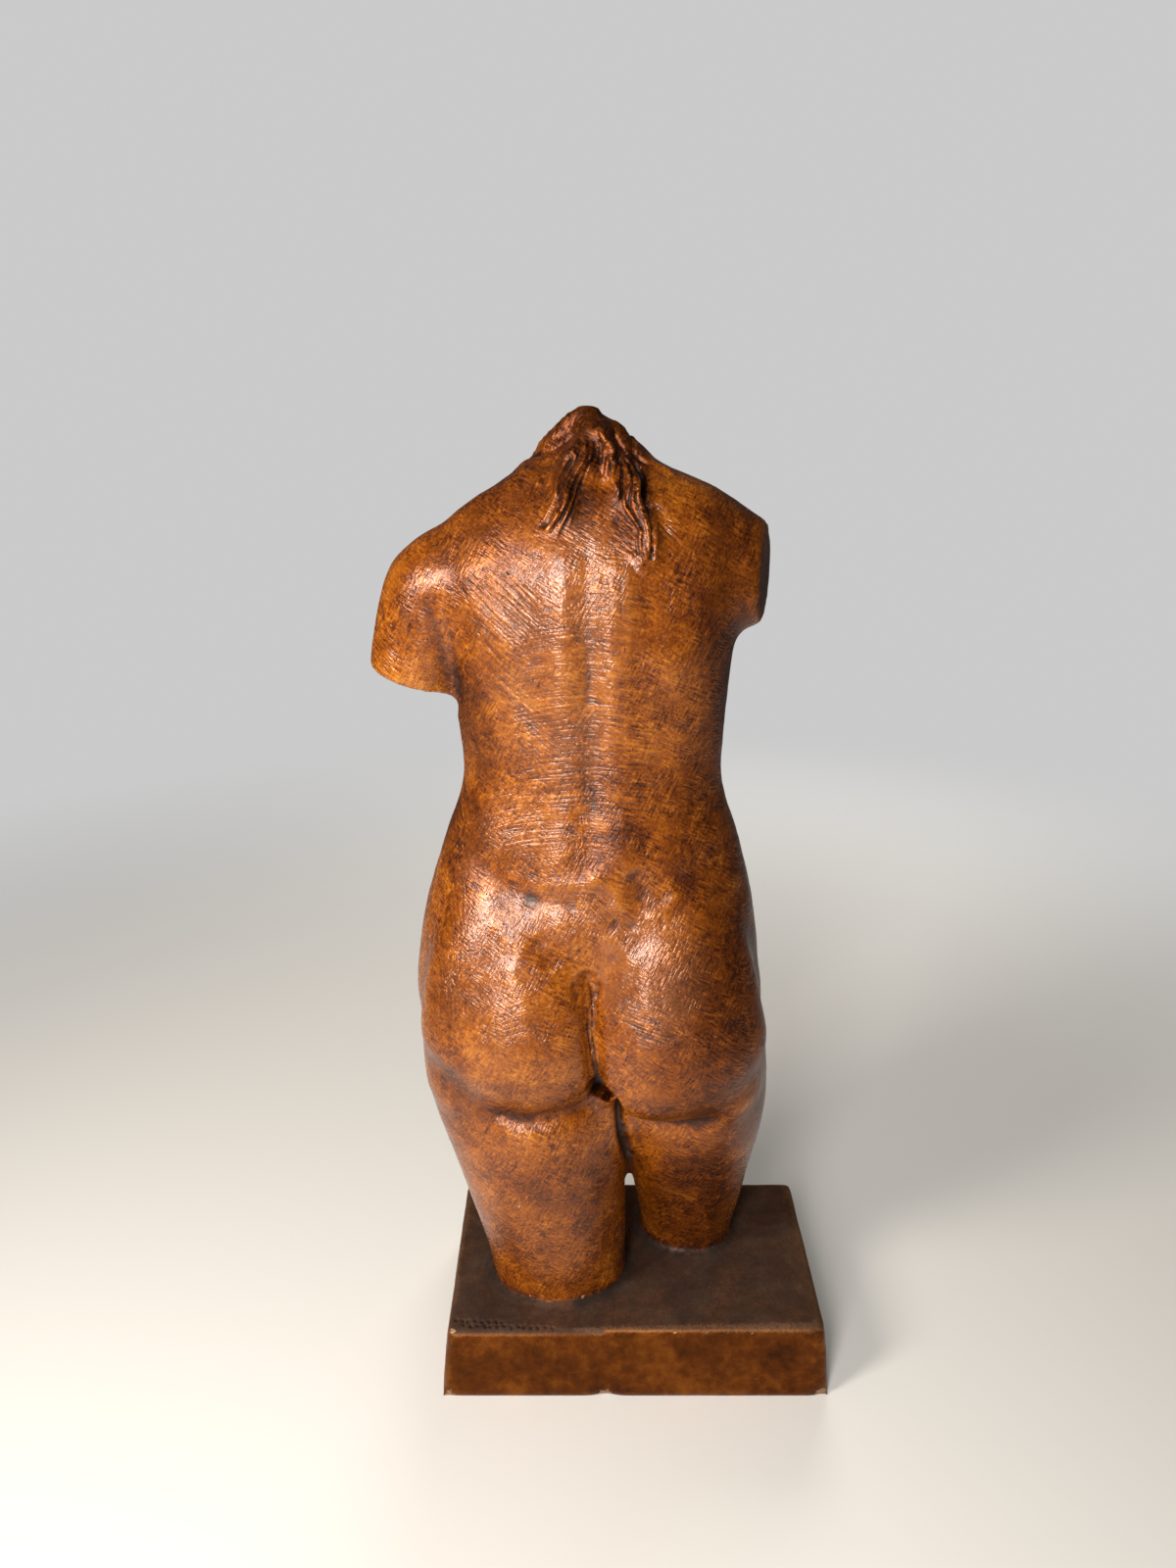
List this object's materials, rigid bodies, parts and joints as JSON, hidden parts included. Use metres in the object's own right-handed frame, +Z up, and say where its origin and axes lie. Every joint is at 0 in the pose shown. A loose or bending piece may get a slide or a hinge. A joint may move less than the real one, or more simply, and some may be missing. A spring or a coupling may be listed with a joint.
{
  "type": "torso sculpture",
  "caption": "Standing female torso cast together with its oblong plinth: head and right arm cut away, left arm ending above the elbow, locks of hair at the nape, thighs rising from the slab.",
  "frame": {"origin": "centre of the plinth's underside", "axes": "+Z up; the figure's back faces -Y; +X is to the right when looking at the back, so the missing right arm is on +X"},
  "size_m": [0.2868, 0.1621, 0.6195],
  "materials": {
    "patina": "warm brown waxed patina over a tooled skin, darker on the plinth's top, pale where the edges are chipped"
  },
  "bodies": {
    "root": {"torso": "patina"}
  },
  "joints": []
}
